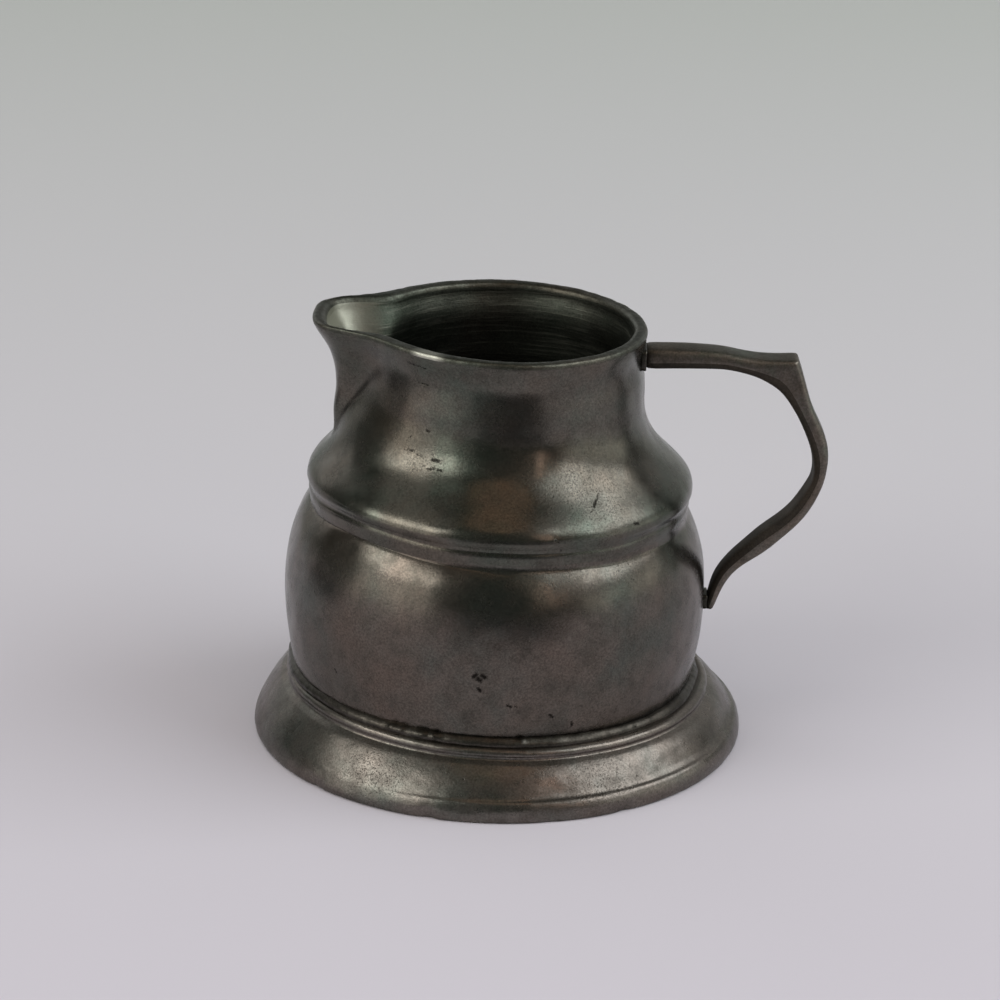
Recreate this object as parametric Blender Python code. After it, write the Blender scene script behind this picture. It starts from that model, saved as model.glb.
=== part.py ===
import math

import bmesh
import bpy
from mathutils import Matrix, Vector

# Sizes in metres. The body's turning axis is x = 0 until the last step.
wall = 0.0021
gap = 0.0003
belly_radius = 0.0362
belly_z = 0.0250
belly_foot_inset = 0.0015
girdle_z = 0.0402
girdle_radius = 0.0323
girdle_band = 0.0042
bulge_rise = 0.0013
bulge_out = 0.0005
lap_height = 0.0026
lap_split = 0.0011
seam_height = 0.0006
neck_radius = 0.0233
neck_rise = 0.0220
throat_height = 0.0111
lip_height = 0.0026
lip_flare = 0.0005
lip_bead = 0.0004
lip_round = 0.0006

# Spout: a lip drawn out of the neck line, in a V cut sawn along X.
spout_reach = 0.00865
spout_half_angle = math.radians(21.5)
spout_foot_angle = math.radians(5.0)
spout_foot_drop = 0.0023
notch_depth = 0.0255
notch_half_angle = math.radians(27.0)

# Foot ring, set a little off the body's axis towards the handle.
collar_z = 0.0113
collar_ledge = 0.0016
collar_height = 0.0024
flange_inset = 0.0042
flange_thick = 0.0018
foot_flare = 0.0062
fascia_height = 0.0034
fascia_inset = 0.0014
groove_depth = 0.0004
foot_edge = 0.0004
standing_width = 0.0026
foot_offset = 0.0007

# Floor disc and solder seams.
disc_thick = 0.0017
fillet = 0.0007
pad_thick = 0.0005
tail_pad_thick = 0.00035
pad_margin = 0.0004

# Strap handle: u runs from the tail's inner face to the back, v from the tail tip to the arm's top.
strap_width = 0.0070
tail_width = 0.0060
strap_round = 0.0004
handle_reach = 0.0182
tail_z = 0.0234
arm_drop = 0.0035
arm_thick = 0.0028

# The body bends over towards the handle above the belly's widest part; the foot stands true.
lean = math.radians(1.5)
lean_start_z = 0.0200

turn_steps = 60
spout_steps = 30
spout_sector = math.radians(90.0)
collar_radius = belly_radius - belly_foot_inset + collar_ledge
foot_radius = collar_radius + foot_flare
seam_low_z = girdle_z + gap
skirt_z = seam_low_z + seam_height + gap
crease_z = girdle_z + girdle_band
bulge_z = crease_z + bulge_rise
bulge_radius = girdle_radius + bulge_out
neck_z = girdle_z + neck_rise
rim_z = neck_z + throat_height
lip_z = rim_z - lip_height
notch_apex_z = rim_z - notch_depth
spout_foot_z = notch_apex_z - spout_foot_drop
rim_radius = neck_radius + lip_flare + lip_bead
arm_z = rim_z - arm_drop

for old in list(bpy.data.objects):
    bpy.data.objects.remove(old, do_unlink=True)


def bezier(start, hold, pull, end, count):
    points = []
    for step in range(count + 1):
        t = step / count
        a, b, c, d = (1 - t) ** 3, 3 * t * (1 - t) ** 2, 3 * t * t * (1 - t), t ** 3
        points.append(tuple(a * s + b * h + c * p + d * e for s, h, p, e in zip(start, hold, pull, end)))
    return points


def through(points, count):
    # Smooth curve that passes through every point, with count steps between neighbours.
    spots = [Vector(point) for point in points]
    spans = [(after - spot).length for spot, after in zip(spots, spots[1:])]
    slopes = [(spots[1] - spots[0]) / spans[0]]
    for index in range(1, len(spots) - 1):
        slopes.append((spots[index + 1] - spots[index - 1]) / (spans[index - 1] + spans[index]))
    slopes.append((spots[-1] - spots[-2]) / spans[-1])
    line = []
    for index, span in enumerate(spans):
        hold = spots[index] + slopes[index] * span / 3
        pull = spots[index + 1] - slopes[index + 1] * span / 3
        line += bezier(spots[index], hold, pull, spots[index + 1], count)[:-1]
    return line + [tuple(spots[-1])]


def inset_line(points, distance):
    # The same rising line moved sideways towards the axis.
    moved = []
    last = len(points) - 1
    for index, (r, z) in enumerate(points):
        before, after = points[max(index - 1, 0)], points[min(index + 1, last)]
        along = Vector((after[0] - before[0], after[1] - before[1])).normalized()
        moved.append((r - distance * along.y, z + distance * along.x))
    return moved


def neck_outer(z):
    # Radius of the straight-necked part above the narrowest point.
    rise = max(z - neck_z, 0.0) / (lip_z - neck_z)
    return neck_radius + lip_flare * rise * rise


def belly_outer(z):
    # Radius of the lower belly, from the foot up to its widest point.
    fall = max(belly_z - z, 0.0) / (belly_z - collar_z)
    return belly_radius - belly_foot_inset * fall * fall


def lip_pull(angle, z):
    # How far the spout stands out of the turned neck at this height.
    height = max(z - spout_foot_z, 0.0) / (rim_z - spout_foot_z)
    width = spout_foot_angle + (spout_half_angle - spout_foot_angle) * height
    return spout_reach * (0.85 * height ** 0.75 + 0.15 * height ** 6) / (1 + (angle / width) ** 4)


def finish_mesh(bm, name, colour, roughness):
    bmesh.ops.remove_doubles(bm, verts=bm.verts, dist=0.000002)
    bmesh.ops.recalc_face_normals(bm, faces=bm.faces)
    mesh = bpy.data.meshes.new(name)
    bm.to_mesh(mesh)
    bm.free()
    mesh.shade_smooth()
    mesh.set_sharp_from_angle(angle=math.radians(35))
    item = bpy.data.objects.new(name, mesh)
    bpy.context.collection.objects.link(item)
    material = bpy.data.materials.new(name)
    material.use_nodes = True
    shader = material.node_tree.nodes["Principled BSDF"]
    shader.inputs["Base Color"].default_value = (*colour, 1)
    shader.inputs["Roughness"].default_value = roughness
    shader.inputs["Metallic"].default_value = 1.0
    mesh.materials.append(material)
    return item


def spin_profile(bm, profile, start, sweeps, closed=True):
    # Turns a profile round Z; each sweep is an angle and its number of steps.
    verts = [bm.verts.new((r * math.cos(start), r * math.sin(start), z)) for r, z in profile]
    links = list(zip(verts, verts[1:] + verts[:1]))
    if not closed:
        links = links[:-1]
    geom = [bm.edges.new(link) for link in links]
    for angle, steps in sweeps:
        turned = bmesh.ops.spin(bm, geom=geom, cent=(0, 0, 0), axis=(0, 0, 1), angle=angle, steps=steps)
        geom = [item for item in turned["geom_last"] if isinstance(item, bmesh.types.BMEdge)]
    bmesh.ops.remove_doubles(bm, verts=bm.verts, dist=0.000002)


def turned_piece(name, profile, colour, roughness, closed=True):
    bm = bmesh.new()
    spin_profile(bm, profile, 0.0, [(math.tau, turn_steps)], closed)
    return finish_mesh(bm, name, colour, roughness)


pewter = (0.155, 0.145, 0.130)
worn_pewter = (0.185, 0.175, 0.155)
solder = (0.215, 0.210, 0.195)

# Upper casting: shoulder bulge, waisted neck and thick rounded rim, turned in one shell.
shoulder = bezier((bulge_radius, bulge_z), (bulge_radius, bulge_z + 0.12 * (neck_z - bulge_z)),
                  (neck_radius, neck_z - 0.62 * (neck_z - bulge_z)), (neck_radius, neck_z), 8)
throat = [(neck_outer(z), z) for z in (neck_z + 0.5 * (lip_z - neck_z), lip_z)]
neck_line = [(girdle_radius, crease_z)] + shoulder + throat
inner_line = inset_line(neck_line[::2], wall)
rebate_z = girdle_z + lap_height + gap
rebate_radius = girdle_radius - lap_split
bore_radius = rim_radius - wall
neck_profile = [(girdle_radius, skirt_z)] + neck_line
neck_profile += [(rim_radius, lip_z + lip_bead), (rim_radius, rim_z - lip_round)]
neck_profile += [(rim_radius - lip_round, rim_z), (bore_radius + lip_round, rim_z)]
neck_profile += [(bore_radius, rim_z - lip_round)]
neck_profile += list(reversed(inner_line))
neck_profile += [(inner_line[0][0], rebate_z), (rebate_radius, rebate_z), (rebate_radius, skirt_z)]


def neck_shell(name, colour, roughness):
    bm = bmesh.new()
    sweeps = [(spout_sector, spout_steps), (math.tau - spout_sector, turn_steps * 3 // 4)]
    spin_profile(bm, neck_profile, math.pi - spout_sector / 2, sweeps)
    for vert in bm.verts:
        angle = math.atan2(vert.co.y, -vert.co.x)
        radius = math.hypot(vert.co.x, vert.co.y)
        vert.co.xy *= (radius + lip_pull(angle, vert.co.z)) / radius
    return finish_mesh(bm, name, colour, roughness)


def notch_prism(name, clearance):
    # Wedge that opens upwards from its apex, on the spout's side of the axis.
    apex = notch_apex_z - clearance / math.sin(notch_half_angle)
    top = 2 * rim_z - notch_apex_z
    spread = (top - apex) * math.tan(notch_half_angle)
    bm = bmesh.new()
    ends = [bm.verts.new((-gap, y, z)) for y, z in ((0, apex), (spread, top), (-spread, top))]
    far = bmesh.ops.extrude_face_region(bm, geom=[bm.faces.new(ends)])
    moved = [item for item in far["geom"] if isinstance(item, bmesh.types.BMVert)]
    bmesh.ops.translate(bm, verts=moved, vec=(-2 * (rim_radius + spout_reach), 0, 0))
    item = finish_mesh(bm, name, pewter, 0.5)
    item.hide_render = True
    item.display_type = "WIRE"
    return item


def cut(item, cutter, operation):
    tool = item.modifiers.new("saw cut", "BOOLEAN")
    tool.operation = operation
    tool.solver = "EXACT"
    tool.object = cutter


neck_casting = neck_shell("neck_casting", pewter, 0.38)
spout = neck_shell("spout", pewter, 0.36)
cut(neck_casting, notch_prism("notch_cutter", gap / 2), "DIFFERENCE")
cut(spout, notch_prism("spout_cutter", -gap / 2), "INTERSECT")

# Lower casting: belly with a spigot that laps inside the neck's skirt.
seat_z = collar_z + gap
upper_belly = bezier((girdle_radius, girdle_z), (belly_radius - 0.6 * wall, girdle_z - lap_height),
                     (belly_radius, belly_z + 0.5 * (girdle_z - belly_z)), (belly_radius, belly_z), 7)
lower_belly = [(belly_outer(z), z) for z in (belly_z - 0.5 * (belly_z - seat_z), seat_z)]
belly_line = upper_belly + lower_belly
spigot_radius = rebate_radius - gap
spigot_bore = girdle_radius - wall
belly_inner = [(r - wall, z) for r, z in belly_line if z < girdle_z - wall]
belly_profile = [(spigot_radius, girdle_z)] + belly_line
belly_profile += list(reversed(belly_inner))
belly_profile += [(spigot_bore, girdle_z - 0.5 * wall), (spigot_bore, girdle_z + lap_height)]
belly_profile += [(spigot_radius, girdle_z + lap_height)]
belly_casting = turned_piece("belly_casting", belly_profile, pewter, 0.40)

# Solder run in the girdle seam, flush with the skirt.
seam_top_z = seam_low_z + seam_height
girdle_profile = [(girdle_radius, seam_low_z), (girdle_radius, seam_top_z)]
girdle_profile += [(rebate_radius, seam_top_z), (rebate_radius, seam_low_z)]
girdle_solder = turned_piece("girdle_solder", girdle_profile, solder, 0.50)

# Foot ring: flat collar, groove, ovolo, step and fascia over a hollow underside.
groove_z = collar_z - collar_height
groove_radius = collar_radius - groove_depth
step_radius = foot_radius - fascia_inset
step_z = fascia_height + groove_depth
ovolo = bezier((collar_radius, groove_z), (step_radius - 0.5 * (step_radius - collar_radius), groove_z),
               (step_radius - 0.5 * fascia_inset, fascia_height + 0.33 * (groove_z - fascia_height)),
               (step_radius, step_z), 6)
flange_radius = collar_radius - collar_ledge - flange_inset
hollow_radius = foot_radius - foot_edge - standing_width
ceiling_z = collar_z - flange_thick
foot_profile = [(flange_radius, collar_z), (groove_radius, collar_z)]
foot_profile += [(collar_radius, collar_z - foot_edge), (collar_radius, collar_z - 0.5 * collar_height)]
foot_profile += [(groove_radius, groove_z + 0.5 * groove_depth)] + ovolo
foot_profile += [(step_radius + 0.5 * fascia_inset, fascia_height)]
foot_profile += [(foot_radius - 0.5 * foot_edge, 0.75 * fascia_height), (foot_radius, 3 * foot_edge)]
foot_profile += [(foot_radius, foot_edge), (foot_radius - foot_edge, 0.0), (hollow_radius, 0.0)]
foot_profile += [(step_radius - wall, fascia_height), (collar_radius - wall, groove_z - 0.5 * wall)]
foot_profile += [(groove_radius - wall, ceiling_z), (flange_radius, ceiling_z)]
foot_ring = turned_piece("foot_ring", foot_profile, worn_pewter, 0.42)
foot_ring.data.transform(Matrix.Translation((foot_offset, 0, 0)))

# Floor disc inside the belly, resting over the foot's flange.
disc_radius = belly_outer(seat_z) - wall - gap
disc_top = seat_z + disc_thick
disc_profile = [(0.0, disc_top), (disc_radius - gap, disc_top), (disc_radius, disc_top - gap)]
disc_profile += [(disc_radius, seat_z), (0.0, seat_z)]
base_disc = turned_piece("base_disc", disc_profile, pewter, 0.45, closed=False)

# Solder fillets: inside round the floor, outside round the belly's seat on the foot.
inside_foot = disc_top + gap
base_profile = [(disc_radius, inside_foot), (disc_radius, inside_foot + fillet), (disc_radius - fillet, inside_foot)]
base_solder = turned_piece("base_solder", base_profile, solder, 0.55)
bead_radius = belly_outer(seat_z + fillet) + gap
bead_profile = [(bead_radius, seat_z + fillet), (bead_radius + 0.5 * fillet, seat_z + 0.7 * fillet)]
bead_profile += [(bead_radius + 0.8 * fillet, seat_z), (bead_radius, seat_z)]
foot_solder = turned_piece("foot_solder", bead_profile, solder, 0.55)

# Cast strap handle: arm, spur at the outer corner, back, heel and curled tail.
tail_x = belly_radius + gap + tail_pad_thick + gap
root_x = neck_outer(arm_z) + gap + pad_thick + gap
drop = arm_z - tail_z
arm_low = arm_z - arm_thick


def spot(u, v):
    return (tail_x + u * handle_reach, tail_z + v * drop)


arm_top = [(root_x, arm_z), spot(-0.107, 1.002), spot(0.294, 0.980), spot(0.657, 0.984)]
arm_under = [(root_x, arm_low), spot(-0.099, 0.952), spot(0.228, 0.934), spot(0.462, 0.890)]
back_out = [spot(0.692, 0.946), spot(0.797, 0.817), spot(0.973, 0.672), spot(0.997, 0.565)]
back_out += [spot(0.797, 0.386), spot(0.462, 0.248), spot(0.187, 0.142), spot(0.041, 0.0)]
back_in = [spot(0.541, 0.853), spot(0.703, 0.750), spot(0.852, 0.616), spot(0.868, 0.526)]
back_in += [spot(0.687, 0.384), spot(0.376, 0.272), spot(0.104, 0.129), spot(0.0, 0.0)]
outer_line = through(arm_top, 4) + through(back_out, 4)
under_line = through(arm_under, 4) + through(back_in, 4)

bm = bmesh.new()
loops = []
for index, (outer, under) in enumerate(zip(outer_line, under_line)):
    taper = max(2 * index / (len(outer_line) - 1) - 1, 0.0)
    half = (strap_width + (tail_width - strap_width) * taper) / 2
    corners = ((outer, -half), (outer, half), (under, half), (under, -half))
    loops.append([bm.verts.new((x, y, z)) for (x, z), y in corners])
rails = []
for near, far in zip(loops, loops[1:]):
    for side in range(4):
        bm.faces.new((near[side - 1], near[side], far[side], far[side - 1]))
    rails += [bm.edges.get(pair) for pair in zip(near, far)]
bm.faces.new(loops[0])
bm.faces.new(loops[-1])
bmesh.ops.recalc_face_normals(bm, faces=bm.faces)
bmesh.ops.bevel(bm, geom=rails, offset=strap_round, segments=2, profile=0.5, affect="EDGES", material=-1)
handle = finish_mesh(bm, "handle", pewter, 0.36)


def solder_pad(name, surface, thick, half, low, high):
    # Thin pad that follows the body's round wall under the strap.
    bm = bmesh.new()
    bmesh.ops.create_grid(bm, x_segments=4, y_segments=3, size=0.5)
    for vert in bm.verts:
        across, up = vert.co.x * 2 * half, low + (vert.co.y + 0.5) * (high - low)
        vert.co = (math.sqrt((surface(up) + gap) ** 2 - across ** 2), across, up)
    grown = bmesh.ops.extrude_face_region(bm, geom=list(bm.faces))
    for item in grown["geom"]:
        if isinstance(item, bmesh.types.BMVert):
            item.co.x += thick
    return finish_mesh(bm, name, solder, 0.5)


root_solder = solder_pad("handle_root_solder", neck_outer, pad_thick, strap_width / 2 + pad_margin,
                         arm_low - pad_margin, arm_z + pad_margin)
tail_solder = solder_pad("handle_tail_solder", belly_outer, tail_pad_thick, tail_width / 2 - pad_margin,
                         tail_z, tail_z + arm_thick)

# The body's bend, then the whole jug centred over its footprint.
def bend(co):
    ramp = girdle_z - lean_start_z
    share = min(max((co.z - lean_start_z) / ramp, 0.0), 1.0)
    climb = ramp * share ** 3 * (1 - share / 2) + max(co.z - girdle_z, 0.0)
    drop = math.tan(lean) * co.x * share * share * (3 - 2 * share)
    return Vector((co.x + math.tan(lean) * climb, co.y, co.z - drop))


for item in bpy.data.objects:
    for vert in item.data.vertices:
        vert.co = bend(vert.co)
reach_x = max(vert.co.x for vert in handle.data.vertices)
centre_x = (reach_x + foot_offset - foot_radius) / 2
for item in bpy.data.objects:
    item.data.transform(Matrix.Translation((-centre_x, 0, 0)))
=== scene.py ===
import math

import bmesh
import bpy
from mathutils import Matrix, Vector, noise


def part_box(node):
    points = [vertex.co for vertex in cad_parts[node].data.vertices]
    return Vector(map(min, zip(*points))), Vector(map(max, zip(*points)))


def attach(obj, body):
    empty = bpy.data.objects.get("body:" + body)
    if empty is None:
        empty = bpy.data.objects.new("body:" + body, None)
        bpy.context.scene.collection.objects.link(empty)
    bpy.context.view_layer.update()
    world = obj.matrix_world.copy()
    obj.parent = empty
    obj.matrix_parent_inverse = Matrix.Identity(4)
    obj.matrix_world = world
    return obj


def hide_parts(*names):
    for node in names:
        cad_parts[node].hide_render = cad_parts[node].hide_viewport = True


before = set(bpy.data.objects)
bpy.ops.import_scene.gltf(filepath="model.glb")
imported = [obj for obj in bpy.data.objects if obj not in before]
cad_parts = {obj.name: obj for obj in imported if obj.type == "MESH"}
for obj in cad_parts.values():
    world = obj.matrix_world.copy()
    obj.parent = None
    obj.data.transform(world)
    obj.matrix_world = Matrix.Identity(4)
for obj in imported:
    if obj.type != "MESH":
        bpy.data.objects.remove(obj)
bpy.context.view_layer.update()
mm = 0.001

# the turning axis and the foot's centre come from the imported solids
bellyLow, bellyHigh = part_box("belly_casting")
footLow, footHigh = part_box("foot_ring")
axisX = (bellyLow.x + bellyHigh.x) / 2
footX = (footLow.x + footHigh.x) / 2
print("frame loaded, body axis at", round(axisX / mm, 2), "mm, foot centre at", round(footX / mm, 2), "mm")

# the upper work leans towards the handle, and every piece above the foot shares this bend
bend = {"lean": math.radians(1.5), "startZ": 20.0 * mm, "fullZ": 40.2 * mm}


def leanOver(co):
    ramp = bend["fullZ"] - bend["startZ"]
    share = min(max((co.z - bend["startZ"]) / ramp, 0.0), 1.0)
    climb = ramp * share ** 3 * (1 - share / 2) + max(co.z - bend["fullZ"], 0.0)
    drop = math.tan(bend["lean"]) * co.x * share * share * (3 - 2 * share)
    return Vector((co.x + math.tan(bend["lean"]) * climb + axisX, co.y, co.z - drop))


def bezierLine(start, hold, pull, end, count):
    line = []
    for step in range(count + 1):
        t = step / count
        parts = ((1 - t) ** 3, 3 * t * (1 - t) ** 2, 3 * t * t * (1 - t), t ** 3)
        line.append(sum((p * Vector(c) for p, c in zip(parts, (start, hold, pull, end))), Vector((0, 0))))
    return line


def curveThrough(points, count):
    spots = [Vector(p) for p in points]
    spans = [(b - a).length for a, b in zip(spots, spots[1:])]
    slopes = [(spots[1] - spots[0]) / spans[0]]
    for i in range(1, len(spots) - 1):
        slopes.append((spots[i + 1] - spots[i - 1]) / (spans[i - 1] + spans[i]))
    slopes.append((spots[-1] - spots[-2]) / spans[-1])
    line = []
    for i, span in enumerate(spans):
        hold = spots[i] + slopes[i] * span / 3
        pull = spots[i + 1] - slopes[i + 1] * span / 3
        line += bezierLine(spots[i], hold, pull, spots[i + 1], count)[:-1]
    return line + [spots[-1]]


def inwardLine(points, wall):
    # the same rising line, one wall thickness nearer the axis
    line = []
    for i, p in enumerate(points):
        along = (points[min(i + 1, len(points) - 1)] - points[max(i - 1, 0)]).normalized()
        line.append(p + wall * Vector((-along.y, along.x)))
    return line


def spinLine(points, steps):
    bm = bmesh.new()
    verts = [bm.verts.new((p[0] * mm, 0, p[1] * mm)) for p in points]
    edges = [bm.edges.new(pair) for pair in zip(verts, verts[1:] + verts[:1])]
    bmesh.ops.spin(bm, geom=verts + edges, cent=(0, 0, 0), axis=(0, 0, 1),
                   angle=math.tau, steps=steps, use_merge=True)
    bmesh.ops.remove_doubles(bm, verts=bm.verts, dist=0.002 * mm)
    bmesh.ops.recalc_face_normals(bm, faces=bm.faces)
    bm.normal_update()
    return bm


def clamp(value):
    return min(max(value, 0.0), 1.0)


def unevenness(co, size, seed):
    return noise.noise(Vector((co.x, co.y, co.z)) / (size * mm) + Vector((seed, 0, 0)))


# shallow dents in mm over both castings, and the wander of the girdle lines where they were scraped
dents = {
    "deep": 0.20, "size": 11.0, "fine": 0.07, "fineSize": 4.0,
    "wander": 1.1, "wanderTurns": 2.3, "girdleZ": 42.3, "girdleFade": 3.5,
    "bellyShift": -0.22, "shiftTopZ": 44.0, "shiftFade": 6.0,
    "rimSqueeze": 0.85, "squeezeZ": 65.0, "squeezeFade": 7.0,
}


def handWork(co):
    around = Vector((co.x, co.y, 0)).normalized()
    z = co.z / mm
    push = dents["deep"] * unevenness(co, dents["size"], 0.3)
    push += dents["fine"] * unevenness(co, dents["fineSize"], 9.0)
    wander = dents["wander"] * noise.noise(dents["wanderTurns"] * around + Vector((0, 0, 5.5)))
    wander *= math.exp(-((z - dents["girdleZ"]) / dents["girdleFade"]) ** 2)
    # the two castings don't sit quite true on each other
    shift = dents["bellyShift"] * clamp((dents["shiftTopZ"] - z) / dents["shiftFade"])
    # the rim was pressed in a little over the handle
    squeezed = clamp((z - dents["squeezeZ"]) / dents["squeezeFade"])
    push -= dents["rimSqueeze"] * squeezed * max(around.x, 0.0) ** 2
    return leanOver(co + push * mm * around + Vector((shift, 0, wander)) * mm)


def makePiece(bm, name, materials, nodes):
    bmesh.ops.recalc_face_normals(bm, faces=bm.faces)
    mesh = bpy.data.meshes.new(name)
    bm.to_mesh(mesh)
    bm.free()
    mesh.shade_smooth()
    piece = bpy.data.objects.new(name, mesh)
    bpy.context.collection.objects.link(piece)
    for material in materials:
        mesh.materials.append(material)
    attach(piece, "root")
    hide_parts(*nodes)
    print("made", name, "with", len(mesh.polygons), "faces")
    return piece


def toLinear(hexColour):
    channels = [int(hexColour[i:i + 2], 16) / 255 for i in (0, 2, 4)]
    return [c / 12.92 if c <= 0.04045 else ((c + 0.055) / 1.055) ** 2.4 for c in channels] + [1.0]


def addNode(tree, kind, inputs, **settings):
    # a node or a socket among the inputs is linked, anything else is a fixed value
    node = tree.nodes.new(kind)
    for key, value in settings.items():
        setattr(node, key, value)
    for key, value in inputs.items():
        if isinstance(value, bpy.types.Node):
            value = next(out for out in value.outputs if out.enabled)
        if isinstance(value, bpy.types.NodeSocket):
            tree.links.new(value, node.inputs[key])
        else:
            node.inputs[key].default_value = value
    return node


def mathNode(tree, operation, *values):
    return addNode(tree, "ShaderNodeMath", dict(enumerate(values)), operation=operation)


def vectorNode(tree, operation, *values):
    return addNode(tree, "ShaderNodeVectorMath", dict(enumerate(values)), operation=operation)


def remap(tree, value, low, high, first=0.0, last=1.0, **settings):
    ends = {"From Min": low, "From Max": high, "To Min": first, "To Max": last}
    return addNode(tree, "ShaderNodeMapRange", {"Value": value, **ends}, **settings)


def mixTones(tree, share, first, second):
    return addNode(tree, "ShaderNodeMix", {"Factor": share, "A": first, "B": second}, data_type="RGBA")


def noiseField(tree, place, size, detail, roughness=0.5):
    # size is the spacing of the pattern in mm
    return addNode(tree, "ShaderNodeTexNoise", {"Vector": place, "Scale": 1 / (size * mm), "Detail": detail,
                                                "Roughness": roughness})


def nearness(tree, place, x, y, z, core, size, strength):
    # full strength round a place in mm, fading to nothing at its size
    spot = vectorNode(tree, "DISTANCE", place, (x * mm, y * mm, z * mm))
    return remap(tree, spot, core * size * mm, size * mm, strength, 0.0)


# cast pewter, scraped and long handled: a dark warm grey with brown and greenish stains and a soft sheen
agedPewter = {
    "dark": "4a4741", "body": "5d5a53", "stain": "615950", "green": "52574f", "pit": "191714",
    "roughness": 0.25, "roughSpread": 0.14, "stainSize": 16.0, "cloudSize": 3.6, "grainSize": 0.34,
    "pitSize": 2.2, "grainDepth": 0.70, "reliefDepth": 0.05,
    "strokes": (), "patches": (), "cornerDark": (), "turning": 0.0, "pale": (), "metal": 1.0, "gloss": 0.5,
    "speckle": 0.60,
}
# what all these finishes share: sizes in mm, and shares of a noise from which a trait starts and is full
pattern = {
    "greenAt": 0.34, "bodyAt": 0.5, "stainAt": 0.68, "smoky": (0.45, 0.70), "smokyShare": 0.7,
    "spread": (0.3, 0.7), "highlightCore": 0.45, "hole": (0.05, 0.11), "thick": (0.58, 0.66),
    "shake": (1.2, 1.2, 1.1), "raggedSize": 0.45, "strokeCore": 0.20, "strokeEdge": 0.60, "strokeShare": 0.95,
    "sandCore": 0.4, "sandShare": 0.5, "speckSize": 0.28, "specks": (0.56, 0.70),
    "driftSize": 2.5, "driftRise": 2.4, "cornerDarkShare": 0.8, "flawDepth": -1.6,
    "crests": (0.52, 0.72), "crestShare": 0.75, "crestTone": "77776d", "crestDepth": 2.0, "stretch": 0.05,
    "bump": 0.4,
}
# knife slips and casting flaws on the neck, each from one place to another in mm with its width
neckStrokes = (
    ((-22.9, -18.7, 56.3), (-21.5, -19.0, 58.9), 0.36), ((-22.4, -19.2, 56.6), (-20.9, -20.2, 56.6), 0.55),
    ((-20.6, -20.4, 56.3), (-19.2, -21.3, 56.0), 0.50), ((-17.8, -22.3, 56.0), (-16.9, -22.7, 55.9), 0.62),
    ((-18.5, -22.7, 54.5), (-17.5, -23.1, 54.7), 0.46), ((-16.9, -23.4, 54.6), (-16.2, -23.7, 54.6), 0.50),
    ((-20.4, -18.4, 68.0), (-18.8, -19.5, 67.9), 0.40), ((-22.4, -17.7, 71.2), (-19.3, -20.0, 70.8), 0.34),
    ((-18.9, -20.3, 60.4), (-18.5, -20.5, 60.2), 0.50), ((-30.0, -12.3, 53.8), (-27.0, -15.3, 54.2), 0.26),
    ((9.5, -23.2, 51.1), (9.2, -24.1, 50.4), 0.42), ((9.0, -24.4, 50.2), (8.7, -25.3, 49.5), 0.50),
    ((8.5, -25.7, 49.2), (8.2, -26.2, 48.8), 0.36), ((11.2, -22.2, 51.6), (11.6, -21.9, 51.7), 0.40),
    ((4.4, -23.2, 54.9), (6.4, -22.3, 55.0), 0.30), ((7.0, -22.0, 54.9), (9.0, -20.9, 55.0), 0.26),
    ((4.6, -29.0, 47.8), (4.9, -28.9, 47.6), 0.55), ((15.5, -23.7, 46.1), (16.2, -23.2, 46.0), 0.55),
    ((2.4, -31.5, 45.9), (2.9, -31.4, 45.5), 0.40), ((3.4, -31.0, 44.0), (3.9, -30.7, 43.2), 0.30),
)
bellyStrokes = (
    ((-10.3, -35.9, 23.4), (-9.9, -36.0, 23.8), 0.80), ((-9.6, -36.0, 23.1), (-9.2, -36.0, 22.8), 0.85),
    ((-8.9, -36.1, 23.7), (-8.5, -36.1, 23.4), 0.75), ((-9.5, -36.0, 21.3), (-9.2, -36.0, 20.9), 0.65),
    ((-4.6, -35.8, 18.3), (-4.2, -35.8, 18.1), 0.50), ((-3.5, -35.8, 18.2), (-3.2, -35.8, 18.0), 0.45),
    ((2.3, -34.2, 16.2), (2.8, -34.0, 15.6), 0.45), ((6.0, -32.7, 14.2), (6.1, -32.6, 13.5), 0.42),
    ((15.2, -25.8, 37.0), (15.5, -25.5, 36.8), 0.50), ((-33.6, -24.3, 19.2), (-33.3, -24.6, 18.7), 0.45),
    ((0.6, -34.9, 14.4), (1.4, -34.7, 14.1), 0.45),
)


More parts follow.
